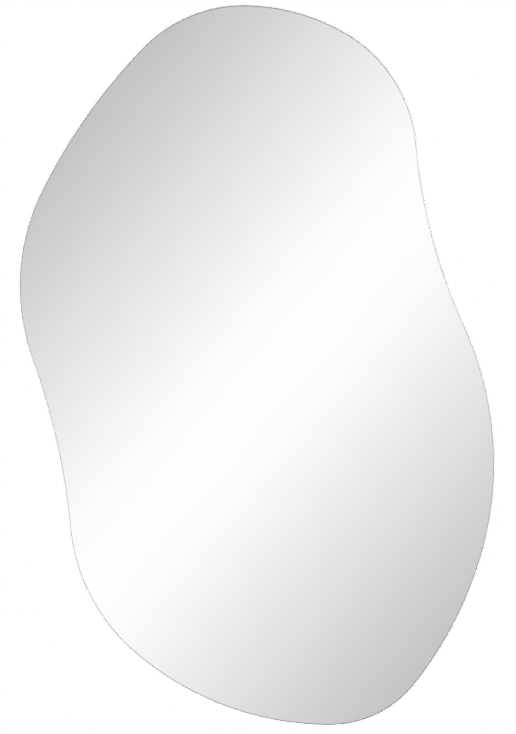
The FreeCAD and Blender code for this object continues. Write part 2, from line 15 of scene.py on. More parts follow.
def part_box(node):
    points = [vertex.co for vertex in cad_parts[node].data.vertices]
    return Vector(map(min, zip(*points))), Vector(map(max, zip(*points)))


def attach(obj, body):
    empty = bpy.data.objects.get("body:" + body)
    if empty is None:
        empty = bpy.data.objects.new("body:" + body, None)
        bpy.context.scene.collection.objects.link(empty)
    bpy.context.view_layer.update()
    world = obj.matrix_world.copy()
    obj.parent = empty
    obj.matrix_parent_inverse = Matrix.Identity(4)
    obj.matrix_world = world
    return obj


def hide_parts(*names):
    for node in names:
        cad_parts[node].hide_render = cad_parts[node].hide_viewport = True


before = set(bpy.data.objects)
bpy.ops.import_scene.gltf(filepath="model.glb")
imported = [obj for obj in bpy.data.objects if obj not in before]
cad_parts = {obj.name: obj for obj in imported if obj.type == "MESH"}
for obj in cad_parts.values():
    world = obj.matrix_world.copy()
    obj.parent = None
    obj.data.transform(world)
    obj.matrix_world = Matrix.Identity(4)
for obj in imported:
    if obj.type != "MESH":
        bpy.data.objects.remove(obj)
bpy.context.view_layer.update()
MM = 0.001


# ---- Silvered glass ----
# Float glass, 5 mm thick, cut to a pebble outline. Its front edge is ground and polished to a
# round, which shows as a thin grey line, and its back edge is seamed to a small bevel.

# Lobes, anticlockwise from the top as seen from the front: centre x, centre z and radius, and then
# the radius of the blend to the next lobe, which is negative at the two waists. In millimetres,
# from the middle of the glass.
PEBBLE_LOBES = [
    (-16, 278, 179, 720),      # top
    (-28, 100, 273, -866),     # left
    (0, -184, 238, 379),       # heel
    (93, -319, 138, 483),      # foot
    (-118, -125, 420, -703),   # right
    (20, 263, 184, 266),       # shoulder
]
OUTLINE_STEP = 3 * MM
GLASS_THICKNESS = 5 * MM
ARRIS_RADIUS = 1.5 * MM
SEAM_WIDTH = 0.5 * MM
GLASS_TINT = "A9D6C3"          # the faint green of iron in clear float glass
GLASS_TINT_DENSITY = 2.0

glass_low, glass_high = (Vector(corner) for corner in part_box("mirror_glass"))
glass_middle = Vector((-4 * MM, 0, -246 * MM))    # from the point midway between the two wall hooks


def linear(colour):
    """Turn an sRGB hex colour, such as "F2F4F3", into linear red, green, blue and alpha."""
    channels = [int(colour[place:place + 2], 16) / 255 for place in (0, 2, 4)]
    return [c / 12.92 if c <= 0.04045 else ((c + 0.055) / 1.055) ** 2.4 for c in channels] + [1.0]


def add_node(tree, kind, sockets=None, **settings):
    """Add a node, apply its settings, and fill or link its input sockets by name or number.

    A node given to a socket stands for its first output, and a hex string for its colour.
    """
    node = tree.nodes.new(kind)
    for name, value in settings.items():
        setattr(node, name, value)
    for key, value in (sockets or {}).items():
        socket = node.inputs[key]
        several = isinstance(value, list) and isinstance(value[0], bpy.types.Node)
        for one in value if several else [value]:
            if isinstance(one, bpy.types.Node):
                one = one.outputs[0]
            if isinstance(one, bpy.types.NodeSocket):
                tree.links.new(one, socket)
            else:
                socket.default_value = linear(one) if socket.type == "RGBA" and isinstance(one, str) else one
    return node


def new_material(name):
    """An empty node material, its tree, and the place on the object in the tree."""
    material = bpy.data.materials.new(name)
    material.use_nodes = True
    material.node_tree.nodes.clear()
    place = add_node(material.node_tree, "ShaderNodeTexCoord").outputs["Object"]
    return material, material.node_tree, place


def blend_centre(first, second, radius):
    """Centre of a blend that holds two lobes inside it, or touches them outside if it is negative."""
    chord = second[0] - first[0]
    to_first = abs(radius - first[1])
    to_second = abs(radius - second[1])
    along = (to_first ** 2 - to_second ** 2 + chord.length ** 2) / (2 * chord.length)
    aside = math.sqrt(to_first ** 2 - along ** 2)
    direction = chord.normalized()
    inwards = Vector((-direction.y, direction.x))
    return first[0] + direction * along + inwards * math.copysign(aside, radius)


def arc_points(centre, radius, start, end):
    """Points from start up to, but not at, end: anticlockwise, or clockwise if radius is negative."""
    sense = math.copysign(1, radius)
    first = math.atan2(start.y - centre.y, start.x - centre.x)
    turn = (math.atan2(end.y - centre.y, end.x - centre.x) - first) * sense % math.tau
    steps = max(2, round(turn * abs(radius) / OUTLINE_STEP))
    angles = [first + sense * turn * step / steps for step in range(steps)]
    return [centre + Vector((math.cos(a), math.sin(a))) * abs(radius) for a in angles]


def pebble_outline():
    """The glass outline as points on the bench, anticlockwise."""
    lobes = [(Vector((x, z)) * MM, radius * MM) for x, z, radius, _ in PEBBLE_LOBES]
    blends = []
    for index, (_, _, _, blend) in enumerate(PEBBLE_LOBES):
        following = lobes[(index + 1) % len(lobes)]
        blends.append((blend_centre(lobes[index], following, blend * MM), blend * MM))

    def meeting(lobe, blend):
        away = (lobe[0] - blend[0]).normalized()
        return lobe[0] + away * math.copysign(lobe[1], blend[1])

    points = []
    for index, lobe in enumerate(lobes):
        following = lobes[(index + 1) % len(lobes)]
        blend = blends[index]
        points += arc_points(lobe[0], lobe[1], meeting(lobe, blends[index - 1]), meeting(lobe, blend))
        points += arc_points(blend[0], blend[1], meeting(lobe, blend), meeting(following, blend))
    return points


def closed_loop(name, points):
    """A mesh of edges only, closed round the points."""
    mesh = bpy.data.meshes.new(name)
    count = len(points)
    mesh.from_pydata([(p[0], p[1], 0) for p in points], [(i, (i + 1) % count) for i in range(count)], [])
    return mesh


def new_tree(name, **inputs):
    """A Geometry Nodes tree with one geometry socket and its named inputs, and what it is given."""
    tree = bpy.data.node_groups.new(name, "GeometryNodeTree")
    tree.interface.new_socket("Geometry", in_out="INPUT", socket_type="NodeSocketGeometry")
    tree.interface.new_socket("Geometry", in_out="OUTPUT", socket_type="NodeSocketGeometry")
    for input_name, kind in inputs.items():
        socket_type = "NodeSocket" + kind
        tree.interface.new_socket(input_name.replace("_", " "), in_out="INPUT", socket_type=socket_type)
    return tree, add_node(tree, "NodeGroupInput").outputs


def add_object(name, data):
    """Add an object that holds the data to the scene."""
    thing = bpy.data.objects.new(name, data)
    bpy.context.scene.collection.objects.link(thing)
    return thing


def make_piece(name, start, tree, **values):
    """Run a tree on a starting mesh, and keep what it makes as a plain mesh object."""
    source = add_object(name + "_start", start)
    modifier = source.modifiers.new(tree.name, "NODES")
    modifier.node_group = tree
    for item in tree.interface.items_tree:
        key = item.name.replace(" ", "_")
        if item.in_out == "INPUT" and key in values:
            modifier[item.identifier] = values[key]
    depsgraph = bpy.context.evaluated_depsgraph_get()
    mesh = bpy.data.meshes.new_from_object(source.evaluated_get(depsgraph), depsgraph=depsgraph)
    source.modifiers.remove(modifier)
    bpy.data.objects.remove(source)
    while mesh.materials and mesh.materials[0] is None:
        mesh.materials.pop(index=0)
    mesh.name = name
    return add_object(name, mesh)


def make_panel_tree():
    """A sheet cut to an inset outline: flat faces, and an edge profile swept round it.

    The profile is a round at the front, a straight land and a flat bevel at the back.
    """
    ROUND_POINTS = 13
    WELD_DISTANCE = 0.002 * MM
    CREASE_ANGLE = math.radians(30)
    FLAT_NORMAL = 0.9995           # least length along Y of a flat face's normal
    tree, given = new_tree(
        "cut panel", Inset="Float", Thickness="Float", Front_Round="Float", Back_Bevel="Float",
        Place="Vector", Front_Finish="Material", Edge_Finish="Material", Back_Finish="Material",
    )

    path = add_node(tree, "GeometryNodeMeshToCurve", {"Mesh": given["Geometry"]})
    path = add_node(tree, "GeometryNodeSetCurveNormal", {"Curve": path}, mode="Z_UP")
    tangent = add_node(tree, "GeometryNodeInputTangent")
    inwards = add_node(tree, "ShaderNodeVectorMath", {0: tangent, 1: (0, 0, -1)}, operation="CROSS_PRODUCT")

    def inset_path(distance):
        shift = add_node(tree, "ShaderNodeVectorMath", {0: inwards, "Scale": distance}, operation="SCALE")
        return add_node(tree, "GeometryNodeSetPosition", {"Geometry": path, "Offset": shift})

    thickness = given["Thickness"]
    front_round = given["Front Round"]
    bevel = given["Back Bevel"]
    land_top = add_node(tree, "ShaderNodeMath", {0: thickness, 1: front_round}, operation="SUBTRACT")
    round_x, bevel_x = (
        add_node(tree, "ShaderNodeMath", {0: width, 1: -1.0}, operation="MULTIPLY")
        for width in (front_round, bevel))
    round_middle, land_end, land_start, bevel_end = (
        add_node(tree, "ShaderNodeCombineXYZ", {"X": x, "Y": y})
        for x, y in ((round_x, land_top), (0.0, land_top), (0.0, bevel), (bevel_x, 0.0)))
    arc = add_node(tree, "GeometryNodeCurveArc", {
        "Resolution": ROUND_POINTS, "Radius": front_round, "Start Angle": 0.0, "Sweep Angle": math.pi / 2,
    }, mode="RADIUS")
    arc = add_node(tree, "GeometryNodeTransform", {"Geometry": arc, "Translation": round_middle})
    land, seam = (
        add_node(tree, "GeometryNodeCurvePrimitiveLine", {"Start": start, "End": end})
        for start, end in ((land_start, land_end), (bevel_end, land_start)))
    profile = add_node(tree, "GeometryNodeJoinGeometry", {"Geometry": [arc, land, seam]})
    profile = add_node(tree, "GeometryNodeTransform", {"Geometry": profile, "Scale": (1, -1, 1)})
    edge = add_node(tree, "GeometryNodeCurveToMesh", {
        "Curve": inset_path(given["Inset"]), "Profile Curve": profile})
    edge = add_node(tree, "GeometryNodeFlipFaces", {"Mesh": edge})
    edge = add_node(tree, "GeometryNodeSetShadeSmooth", {"Geometry": edge, "Shade Smooth": True})

    faces = []
    for eased, height in ((front_round, thickness), (bevel, 0.0)):
        inset = add_node(tree, "ShaderNodeMath", {0: given["Inset"], 1: eased}, operation="ADD")
        face = add_node(tree, "GeometryNodeFillCurve", {"Curve": inset_path(inset)}, mode="NGONS")
        lift = add_node(tree, "ShaderNodeCombineXYZ", {"Z": height})
        faces.append(add_node(tree, "GeometryNodeTransform", {"Geometry": face, "Translation": lift}))
    front, back = faces
    back = add_node(tree, "GeometryNodeFlipFaces", {"Mesh": back})
    flats = add_node(tree, "GeometryNodeJoinGeometry", {"Geometry": [front, back]})
    flats = add_node(tree, "GeometryNodeSetShadeSmooth", {"Geometry": flats, "Shade Smooth": False})

    whole = add_node(tree, "GeometryNodeJoinGeometry", {"Geometry": [edge, flats]})
    whole = add_node(tree, "GeometryNodeMergeByDistance", {"Geometry": whole, "Distance": WELD_DISTANCE})
    angle = add_node(tree, "GeometryNodeInputMeshEdgeAngle").outputs["Unsigned Angle"]
    crease = add_node(tree, "FunctionNodeCompare", {0: angle, 1: CREASE_ANGLE}, operation="GREATER_THAN")
    whole = add_node(tree, "GeometryNodeSetShadeSmooth", {
        "Geometry": whole, "Selection": crease, "Shade Smooth": False}, domain="EDGE")
    whole = add_node(tree, "GeometryNodeTransform", {
        "Geometry": whole, "Translation": given["Place"], "Rotation": (math.pi / 2, 0, 0)})
    whole = add_node(tree, "GeometryNodeRealizeInstances", {"Geometry": whole})
    facing = add_node(
        tree, "ShaderNodeSeparateXYZ", {0: add_node(tree, "GeometryNodeInputNormal")}).outputs["Y"]
    whole = add_node(tree, "GeometryNodeSetMaterial", {"Geometry": whole, "Material": given["Edge Finish"]})
    for limit, operation, finish in (
        (-FLAT_NORMAL, "LESS_THAN", "Front Finish"),
        (FLAT_NORMAL, "GREATER_THAN", "Back Finish"),
    ):
        flat = add_node(tree, "FunctionNodeCompare", {0: facing, 1: limit}, operation=operation)
        whole = add_node(tree, "GeometryNodeSetMaterial", {
            "Geometry": whole, "Selection": flat, "Material": given[finish]})
    add_node(tree, "NodeGroupOutput", {"Geometry": whole})
    return tree


def panel_place(node):
    """Where a panel's bench origin goes: behind the middle of the glass, at the node's back face."""
    return Vector((glass_middle.x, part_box(node)[1][1], glass_middle.z))


def make_float_glass():
    """Clear soda-lime float glass, fire-polished: sharp reflections, and a faint green in depth."""
    material, tree, _ = new_material("float glass")
    surface = add_node(tree, "ShaderNodeBsdfPrincipled", {
        "Base Color": "FFFFFF", "Roughness": 0.0, "IOR": 1.52, "Transmission Weight": 1.0})
    depth = add_node(tree, "ShaderNodeVolumeAbsorption", {
        "Color": GLASS_TINT, "Density": GLASS_TINT_DENSITY})
    add_node(tree, "ShaderNodeOutputMaterial", {"Surface": surface, "Volume": depth})
    return material


def make_polished_edge():
    """Wheel-polished edge: pale and milky at the front round, and sea green where the glass is deep."""
    material, tree, place = new_material("wheel-polished glass edge")
    WHEEL_MARK = 6 * MM
    WHEEL_LINE = 0.35 * MM         # real lines are finer than this, and wouldn't show
    LINE_LENGTH = 25 * MM
    PALE_DEPTH = 0.8 * MM          # behind the front face: all pale before it
    GREEN_DEPTH = 3 * MM           # and all green after this
    marks = add_node(tree, "ShaderNodeTexNoise", {"Vector": place, "Scale": 1 / WHEEL_MARK, "Detail": 2.0})
    along_the_edge = add_node(tree, "ShaderNodeMapping", {
        "Vector": place, "Scale": (1 / LINE_LENGTH, 1 / WHEEL_LINE, 1 / LINE_LENGTH)})
    lines = add_node(tree, "ShaderNodeTexNoise", {"Vector": along_the_edge, "Scale": 1.0, "Detail": 2.0})
    deep = add_node(tree, "ShaderNodeMix", {
        0: lines, 6: "9CC2B3", 7: "D8EBE4"}, data_type="RGBA").outputs[2]
    across = add_node(tree, "ShaderNodeSeparateXYZ", {0: place}).outputs["Y"]
    inwards = add_node(tree, "ShaderNodeMapRange", {
        "Value": across, "From Min": glass_low.y + PALE_DEPTH, "From Max": glass_low.y + GREEN_DEPTH,
    }, interpolation_type="SMOOTHSTEP")
    colour = add_node(tree, "ShaderNodeMix", {
        0: inwards, 6: "F6F4F4", 7: deep}, data_type="RGBA").outputs[2]
    bump = add_node(tree, "ShaderNodeBump", {"Height": marks, "Strength": 0.12, "Distance": 0.2 * MM})
    surface = add_node(tree, "ShaderNodeBsdfPrincipled", {
        "Base Color": colour, "Roughness": 0.28, "IOR": 1.52, "Transmission Weight": 0.19,
        "Normal": bump})
    depth = add_node(tree, "ShaderNodeVolumeAbsorption", {
        "Color": GLASS_TINT, "Density": GLASS_TINT_DENSITY})
    add_node(tree, "ShaderNodeOutputMaterial", {"Surface": surface, "Volume": depth})
    return material


panel_tree = make_panel_tree()
outline = pebble_outline()
float_glass = make_float_glass()
polished_edge = make_polished_edge()
glass = make_piece(
    "mirror_glass_sheet", closed_loop("glass_outline", outline), panel_tree,
    Inset=0.0, Thickness=GLASS_THICKNESS, Front_Round=ARRIS_RADIUS, Back_Bevel=SEAM_WIDTH,
    Place=panel_place("mirror_glass"),
    Front_Finish=float_glass, Edge_Finish=polished_edge, Back_Finish=float_glass,
)
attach(glass, "mirror")
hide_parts("mirror_glass")


# ---- Silvering ----
# Chemically deposited silver on the back of the glass, with copper and two coats of grey paint over
# it. It is a few hundredths of a millimetre thick, and stops where the back edge is seamed.

SILVERING_THICKNESS = 0.08 * MM
SILVERING_BITE = 0.05 * MM     # how far the reflecting face lies inside the glass, to be bonded to it
SILVERING_GAP = 0.1 * MM       # bare glass between the coating and the seamed edge
SILVERING_EDGE = 0.01 * MM


def make_finish(name, grain, pattern, tones, relief, roughness, metallic=0.0, kind="Noise"):
    """A material with one texture in it, which runs between two tones and raises the surface.

    The grain is the texture's size along X, Y and Z, and the pattern its other sockets. The relief
    is a strength and a depth. The roughness is one value, or two that the texture runs between.
    """
    material, tree, place = new_material(name)
    scaled = add_node(tree, "ShaderNodeMapping", {"Vector": place, "Scale": [1 / size for size in grain]})
    texture = add_node(tree, "ShaderNodeTex" + kind, {"Vector": scaled, "Scale": 1.0, **pattern})
    colour = add_node(tree, "ShaderNodeMix", {
        0: texture, 6: tones[0], 7: tones[1]}, data_type="RGBA").outputs[2]
    if isinstance(roughness, tuple):
        low, high = roughness
        roughness = add_node(tree, "ShaderNodeMapRange", {"Value": texture, "To Min": low, "To Max": high})
    bump = add_node(tree, "ShaderNodeBump", {"Height": texture, "Strength": relief[0], "Distance": relief[1]})
    surface = add_node(tree, "ShaderNodeBsdfPrincipled", {
        "Base Color": colour, "Metallic": metallic, "Roughness": roughness, "Normal": bump})
    add_node(tree, "ShaderNodeOutputMaterial", {"Surface": surface})
    return material


# Deposited silver: a clean bright mirror, bent only by the long faint ream of the float glass.
REAM_WIDTH = 90 * MM
REAM_LENGTH = 500 * MM
silver = make_finish(
    "deposited silver", (REAM_WIDTH, REAM_WIDTH, REAM_LENGTH), {"Detail": 1.0},
    tones=("F7F8F8", "F9F9F8"), relief=(1.0, 0.03 * MM), roughness=0.0, metallic=1.0)

# Curtain-coated backing paint: dull grey, with a fine orange peel.
PEEL_WIDTH = 1.5 * MM
backing_paint = make_finish(
    "mirror backing paint", [PEEL_WIDTH] * 3, {"Detail": 3.0},
    tones=("70787A", "858C8D"), relief=(0.2, 0.1 * MM), roughness=0.45)

silvering_place = panel_place("mirror_glass") + Vector((0, SILVERING_THICKNESS - SILVERING_BITE, 0))
silvering = make_piece(
    "silvering", closed_loop("silver_outline", outline), panel_tree,
    Inset=SEAM_WIDTH + SILVERING_GAP, Thickness=SILVERING_THICKNESS, Front_Round=SILVERING_EDGE,
    Back_Bevel=SILVERING_EDGE, Place=silvering_place,
    Front_Finish=silver, Edge_Finish=backing_paint, Back_Finish=backing_paint,
)
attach(silvering, "mirror")
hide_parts("mirror_glass")


# ---- Safety film ----
# Woven polypropylene scrim in clear film, rolled over the paint so that broken glass stays in one
# sheet. It stops 2 mm short of the rim, and shows as a pale band round the board.


def make_scrim_film():
    """Scrim-reinforced plastic film: a slightly shiny off-white with a fine square weave."""
    material, tree, place = new_material("scrim safety film")
    THREAD_SPACING = 2.4 * MM      # the real threads are 1 mm apart, too fine to show
    MOTTLE_WIDTH = 45 * MM
    WAVE_PERIOD = math.tau / 20    # of the wave texture at a scale of 1
    rows = []
    for direction in ("X", "Z"):
        threads = add_node(tree, "ShaderNodeTexWave", {
            "Vector": place, "Scale": WAVE_PERIOD / THREAD_SPACING, "Distortion": 0.3, "Detail": 1.0,
        }, bands_direction=direction)
        rows.append(threads.outputs["Fac"])
    weave = add_node(tree, "ShaderNodeMath", {0: rows[0], 1: rows[1]}, operation="MAXIMUM")
    mottle = add_node(
        tree, "ShaderNodeTexNoise", {"Vector": place, "Scale": 1 / MOTTLE_WIDTH, "Detail": 3.0})
    base = add_node(tree, "ShaderNodeMix", {
        0: mottle, 6: "C3C9CC", 7: "D3D8DA"}, data_type="RGBA").outputs[2]
    colour = add_node(tree, "ShaderNodeMix", {0: weave, 6: base, 7: "E6E9EA"}, data_type="RGBA").outputs[2]
    roughness = add_node(tree, "ShaderNodeMapRange", {"Value": mottle, "To Min": 0.38, "To Max": 0.52})
    bump = add_node(tree, "ShaderNodeBump", {"Height": weave, "Strength": 0.35, "Distance": 0.1 * MM})
    surface = add_node(tree, "ShaderNodeBsdfPrincipled", {
        "Base Color": colour, "Roughness": roughness, "Normal": bump})
    add_node(tree, "ShaderNodeOutputMaterial", {"Surface": surface})
    return material


def dress_node(name, material):
    """Put a material on a CAD node whose shape is right as it is."""
    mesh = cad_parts[name].data
    mesh.materials.clear()
    mesh.materials.append(material)


dress_node("safety_film", make_scrim_film())


# ---- Foam tape ----
# Double-sided closed-cell polyethylene foam tape, five strips pressed between film and board.

# Closed-cell foam: matt off-white, pitted with fine bubbles along its cut edges.
CELL_WIDTH = 0.6 * MM          # real cells are half this, too fine to show
dress_node("foam_tape", make_finish(
    "closed-cell tape foam", [CELL_WIDTH] * 3, {},
    tones=("CFCFC9", "F2F2EE"), relief=(0.5, 0.2 * MM), roughness=0.85, kind="Voronoi"))


# ---- Mirror adhesive ----
# Neutral-cure mirror adhesive, laid in dabs between the strips and pressed out to the tape's
# thickness. It carries the board once it has cured.

# Cured polymer adhesive: cream, satin, with the streaks of the trowel in it.
STREAK_WIDTH = 3 * MM
STREAK_LENGTH = 25 * MM
dress_node("mirror_adhesive", make_finish(
    "cured mirror adhesive", (STREAK_WIDTH, STREAK_LENGTH, STREAK_LENGTH / 1.5), {"Detail": 4.0},
    tones=("DDD5BE", "EFE9D8"), relief=(0.4, 0.3 * MM), roughness=(0.35, 0.6)))


# ---- Backer board ----
# 9 mm medium density fibreboard, routed to the glass outline less 25 mm so that it can't be seen
# from the front, with both faces sanded and the edges eased with a few strokes of paper.

BOARD_THICKNESS = 9 * MM
BOARD_INSET = 25 * MM
BOARD_EASED_EDGE = 0.6 * MM


def make_sanded_board():
    """Sanded fibreboard: warm tan, faintly clouded, with short darker fibres lying every way."""
    material, tree, place = new_material("sanded fibreboard")
    FIBRE_LENGTH = 4 * MM
    FIBRE_WIDTH = 0.6 * MM         # real fibres are a tenth of this, too fine to show
    FIBRE_DIRECTIONS = (12, 58, 99, 146)
    CLOUD_WIDTH = 160 * MM
    fibres = []
    for degrees in FIBRE_DIRECTIONS:
        turned = add_node(
            tree, "ShaderNodeMapping", {"Vector": place, "Rotation": (0, math.radians(degrees), 0)})
        drawn = add_node(tree, "ShaderNodeMapping", {
            "Vector": turned, "Scale": (1 / FIBRE_WIDTH, 1 / FIBRE_WIDTH, 1 / FIBRE_LENGTH)})
        noise = add_node(tree, "ShaderNodeTexNoise", {
            "Vector": drawn, "Scale": 1.0, "Detail": 2.0, "Roughness": 0.4})
        fibres.append(noise)
    darkest = fibres[0]
    for fibre in fibres[1:]:
        darkest = add_node(tree, "ShaderNodeMath", {0: darkest, 1: fibre}, operation="MINIMUM")
    spread = add_node(tree, "ShaderNodeMapRange", {"Value": darkest, "From Min": 0.2, "From Max": 0.42})
    clouds = add_node(tree, "ShaderNodeTexNoise", {
        "Vector": place, "Scale": 1 / CLOUD_WIDTH, "Detail": 3.0})
    body = add_node(tree, "ShaderNodeMix", {
        0: clouds, 6: "B08E66", 7: "C4A47C"}, data_type="RGBA").outputs[2]
    colour = add_node(tree, "ShaderNodeMix", {0: spread, 6: "9C7C55", 7: body}, data_type="RGBA").outputs[2]
    bump = add_node(tree, "ShaderNodeBump", {"Height": spread, "Strength": 0.1, "Distance": 0.1 * MM})
    surface = add_node(tree, "ShaderNodeBsdfPrincipled", {
        "Base Color": colour, "Roughness": 0.68, "Normal": bump})
    add_node(tree, "ShaderNodeOutputMaterial", {"Surface": surface})
    return material


# Routed fibreboard edge: darker and furrier than the face, with faint layers along it.
LAYER_STEP = 0.9 * MM
LAYER_LENGTH = 5 * MM
routed_board = make_finish(
    "routed fibreboard edge", (LAYER_LENGTH, LAYER_STEP, LAYER_LENGTH), {"Detail": 3.0, "Roughness": 0.6},
    tones=("7B5B3A", "A5825A"), relief=(0.4, 0.2 * MM), roughness=0.82)

sanded_board = make_sanded_board()
board = make_piece(
    "fibreboard_backer", closed_loop("board_outline", outline), panel_tree,
    Inset=BOARD_INSET, Thickness=BOARD_THICKNESS, Front_Round=BOARD_EASED_EDGE,
    Back_Bevel=BOARD_EASED_EDGE, Place=panel_place("backer_board"),
    Front_Finish=sanded_board, Edge_Finish=routed_board, Back_Finish=sanded_board,
)
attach(board, "mirror")
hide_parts("backer_board")


# ---- Hanger straps ----
# Four zinc-plated mild steel strips, 16 by 1 mm, punched with four holes and folded double round
# the bar of a ring. Two hang the mirror upright, and two at the side hang it lying down.

board_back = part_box("backer_board")[1].y

STRAP_HALF_WIDTH = 8 * MM
STRAP_LENGTH = 50 * MM         # from the ring's bar to the far ends
STRAP_THICKNESS = 0.98 * MM    # 1 mm sheet, less the hair of daylight between the two legs
LEG_HEIGHTS = (0.5 * MM, 1.5 * MM)    # middle of the lower and the upper leg, over the board
STRAP_TOP = 2 * MM             # top face of the upper leg, over the board
STRAP_END_RADIUS = 5 * MM
STRAP_EDGE_ROUND = 0.15 * MM   # left by tumbling
SQUARE_EDGE = math.radians(60)        # edges turned by more than this are rounded
SCREW_PLACES = (27 * MM, 42 * MM)     # from the ring's bar, along the strap
SCREW_HOLE_RADIUS = 2.3 * MM
WIRE_RADIUS = 1.5 * MM
LOOP_RADIUS = 2.2 * MM         # from the middle of the bar to the middle of the sheet
BAR_HEIGHT = LOOP_RADIUS + LEG_HEIGHTS[0]
FALL_ANGLE = math.radians(60)
BEND_RADIUS = 2 * MM           # middle of the sheet, where the upper leg comes down on the lower one
FOLD_STEP = math.radians(9)
CORNER_STEPS = 8
HOLE_STEPS = 28
STRAP_CREASE = math.radians(18)

# Each hanger: the middle of its ring's bar in x and z, in millimetres, and its turn about Y in
# degrees. At no turn the ring points up and the strap runs down.
HANGERS = {
    "upper_left": (-150, -15.5, 0),
    "upper_right": (150, -15.5, 0),
    "side_upper": (-189, -104, -90),
    "side_lower": (-189, -404, -90),
}


def bar_place(hanger):
    x, z, _ = HANGERS[hanger]
    return Vector((x * MM, board_back + BAR_HEIGHT, z * MM))


def bar_turn(hanger):
    return (0, math.radians(HANGERS[hanger][2]), 0)


def fold_path():
    """Middle of the folded sheet, from the lower leg's end round the bar to the upper leg's end.

    Each point is the distance down the strap and the height over the board, and then the sheet's
    outward normal in the same two directions.
    """
    points = [(STRAP_LENGTH, LEG_HEIGHTS[0], 0, -1)]
    turn = math.pi + FALL_ANGLE
    steps = round(turn / FOLD_STEP)
    for step in range(steps + 1):
        angle = -math.pi / 2 - turn * step / steps
        away = (math.cos(angle), math.sin(angle))
        points.append((LOOP_RADIUS * away[0], BAR_HEIGHT + LOOP_RADIUS * away[1], *away))
    end_down, end_height, out_down, out_height = points[-1]
    centre_height = LEG_HEIGHTS[1] + BEND_RADIUS
    fall = end_height - (centre_height - BEND_RADIUS * out_height)
    centre_down = end_down + fall / math.tan(FALL_ANGLE) + BEND_RADIUS * out_down
    steps = round(FALL_ANGLE / FOLD_STEP)
    for step in range(steps + 1):
        angle = FALL_ANGLE * (1 - step / steps)
        out = (math.sin(angle), math.cos(angle))
        points.append((centre_down - BEND_RADIUS * out[0], centre_height - BEND_RADIUS * out[1], *out))
    points.append((STRAP_LENGTH, LEG_HEIGHTS[1], 0, 1))
    return points


def circle_points(centre_x, centre_y, radius, start, sweep, count):
    """Points along an arc, without its last one, in the plane of the bench."""
    angles = [start + sweep * step / count for step in range(count)]
    return [(centre_x + radius * math.cos(a), centre_y + radius * math.sin(a), 0) for a in angles]


def keep_mesh(name, work, crease=None):
    """Keep a bmesh as a mesh, shaded smooth up to the crease angle if there is one."""
    mesh = bpy.data.meshes.new(name)
    work.to_mesh(mesh)
    work.free()
    if crease:
        mesh.shade_smooth()
        mesh.set_sharp_from_angle(angle=crease)
    return mesh


def fold_strap():
    """Punch the blank, round its edges, and fold it round the bar, which is the origin along X."""
    path = fold_path()
    reach = [0.0]
    for start, end in zip(path, path[1:]):
        reach.append(reach[-1] + math.hypot(end[0] - start[0], end[1] - start[1]))
    length = reach[-1]
    corner = STRAP_END_RADIUS
    width = STRAP_HALF_WIDTH - corner
    outline_loop = []
    for index, (x, y) in enumerate(((length - corner, width), (corner, width),
                                    (corner, -width), (length - corner, -width))):
        outline_loop += circle_points(x, y, corner, index * math.pi / 2, math.pi / 2, CORNER_STEPS)
        last = index * math.pi / 2 + math.pi / 2
        outline_loop.append((x + corner * math.cos(last), y + corner * math.sin(last), 0))
    loops = [outline_loop]
    for place in SCREW_PLACES:
        for along in (STRAP_LENGTH - place, length - STRAP_LENGTH + place):
            loops.append(circle_points(along, 0, SCREW_HOLE_RADIUS, 0, math.tau, HOLE_STEPS))

    blank = bmesh.new()
    for loop in loops:
        verts = [blank.verts.new(point) for point in loop]
        for first, second in zip(verts, verts[1:] + verts[:1]):
            blank.edges.new((first, second))
    bmesh.ops.triangle_fill(blank, use_beauty=True, edges=blank.edges[:])
    bmesh.ops.solidify(blank, geom=blank.faces[:], thickness=STRAP_THICKNESS)
    underside = min(vert.co.z for vert in blank.verts)
    bmesh.ops.translate(blank, verts=blank.verts, vec=(0, 0, -STRAP_THICKNESS / 2 - underside))
    bmesh.ops.recalc_face_normals(blank, faces=blank.faces)
    rims = [e for e in blank.edges if len(e.link_faces) == 2 and e.calc_face_angle() > SQUARE_EDGE]
    bmesh.ops.bevel(
        blank, geom=rims, offset=STRAP_EDGE_ROUND, offset_type="OFFSET", segments=2, profile=0.5,
        affect="EDGES")
    for distance in reach[1:-1]:
        everything = blank.verts[:] + blank.edges[:] + blank.faces[:]
        bmesh.ops.bisect_plane(blank, geom=everything, plane_co=(distance, 0, 0), plane_no=(1, 0, 0))

    for vert in blank.verts:
        along, across, height = vert.co
        index = min(max(bisect.bisect_right(reach, along) - 1, 0), len(path) - 2)
        share = (along - reach[index]) / (reach[index + 1] - reach[index])
        down, over, out_down, out_over = [a + (b - a) * share for a, b in zip(path[index], path[index + 1])]
        vert.co = (-across, over + out_over * height - BAR_HEIGHT, -(down + out_down * height))
    return keep_mesh("folded_strap", blank, STRAP_CREASE)


def points_mesh(name, places, turns):
    """A mesh of loose points, each with the turn that a part set on it is given."""
    mesh = bpy.data.meshes.new(name)
    mesh.from_pydata(places, [], [])
    turn = mesh.attributes.new("turn", "FLOAT_VECTOR", "POINT")
    for index, angles in enumerate(turns):
        turn.data[index].vector = angles
    return mesh


def make_set_out_tree():
    """Set one part on every point, turned as the point says."""
    tree, given = new_tree("set out like parts", Part="Object", Finish="Material")
    part = add_node(tree, "GeometryNodeObjectInfo", {"Object": given["Part"]}).outputs["Geometry"]
    turn = add_node(tree, "GeometryNodeInputNamedAttribute", {"Name": "turn"}, data_type="FLOAT_VECTOR")
    rotation = add_node(tree, "FunctionNodeEulerToRotation", {0: turn})
    placed = add_node(tree, "GeometryNodeInstanceOnPoints", {
        "Points": given["Geometry"], "Instance": part, "Rotation": rotation})
    placed = add_node(tree, "GeometryNodeRealizeInstances", {"Geometry": placed})
    placed = add_node(tree, "GeometryNodeSetMaterial", {"Geometry": placed, "Material": given["Finish"]})
    add_node(tree, "NodeGroupOutput", {"Geometry": placed})
    return tree


